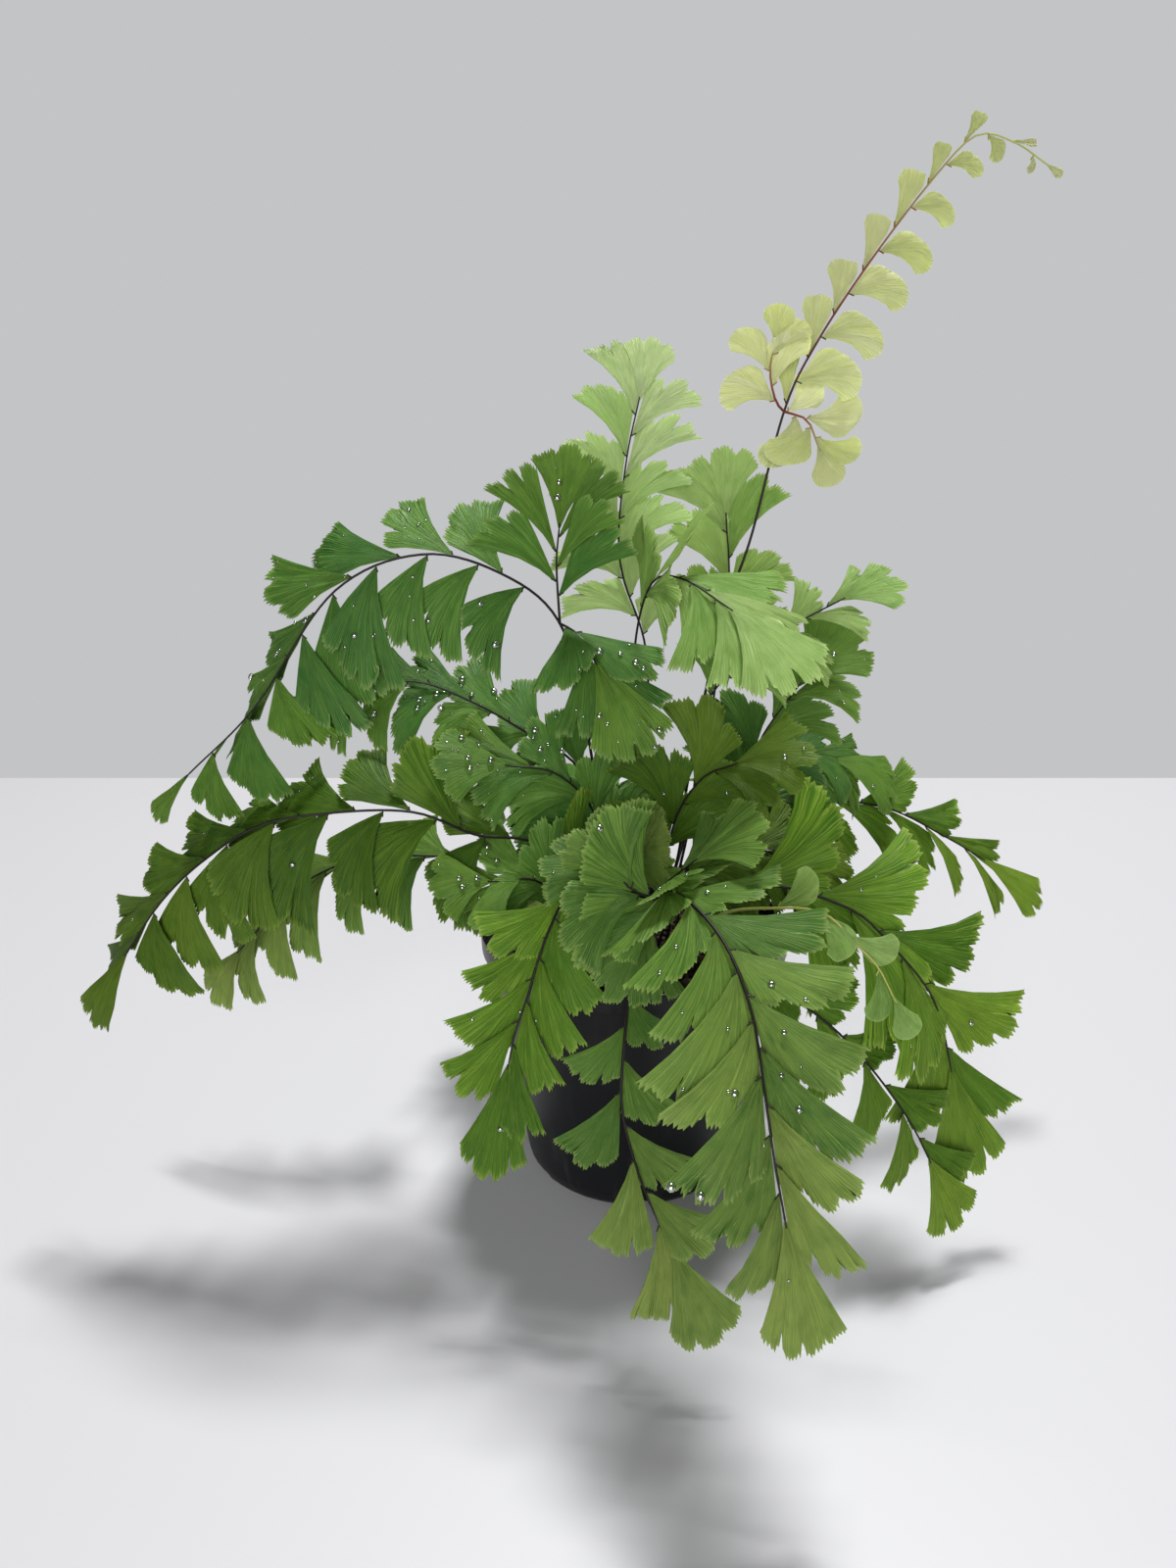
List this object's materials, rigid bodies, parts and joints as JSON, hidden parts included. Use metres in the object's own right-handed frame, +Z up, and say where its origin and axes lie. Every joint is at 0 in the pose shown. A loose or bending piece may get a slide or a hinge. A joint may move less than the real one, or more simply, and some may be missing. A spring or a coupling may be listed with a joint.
{
  "type": "potted maidenhair fern",
  "caption": "Maidenhair fern with arching fronds of fan-shaped leaflets in a round tapered plastic nursery pot filled with soil.",
  "frame": {"origin": "centre of the pot's underside", "axes": "+Z up along the pot's axis, -Y towards the front of the plant, +X to the right seen from the front"},
  "size_m": [0.3846, 0.2732, 0.3959],
  "materials": {
    "pot_plastic": "satin black moulded plastic",
    "potting_soil": "damp crumbly potting mix of bark and peat",
    "mature_frond": "thin soft green leaflets with a faint sheen, on wiry near-black stems",
    "light_frond": "thin soft light green leaflets, on wiry near-black stems",
    "young_frond": "thin new yellow-green leaflets, on a red-brown stem that is green at its tip"
  },
  "bodies": {
    "root": {"pot": "pot_plastic", "soil": "potting_soil", "frond_high_left": "mature_frond", "frond_mid_left": "mature_frond", "frond_low_left": "mature_frond", "frond_back_left": "light_frond", "frond_front_left": "light_frond", "frond_front": "light_frond", "frond_front_small": "light_frond", "frond_right_low": "mature_frond", "frond_right_under": "mature_frond", "frond_far_right": "mature_frond", "frond_mid_right": "mature_frond", "frond_top": "light_frond", "frond_top_right": "light_frond", "frond_centre": "light_frond", "frond_right_tip": "light_frond", "frond_young": "young_frond", "frond_shoot": "young_frond", "frond_inner_left": "mature_frond", "frond_inner_right": "mature_frond", "frond_inner_front": "light_frond", "frond_left_short": "mature_frond", "frond_rear_left": "mature_frond", "frond_rear_right": "mature_frond"}
  },
  "joints": []
}
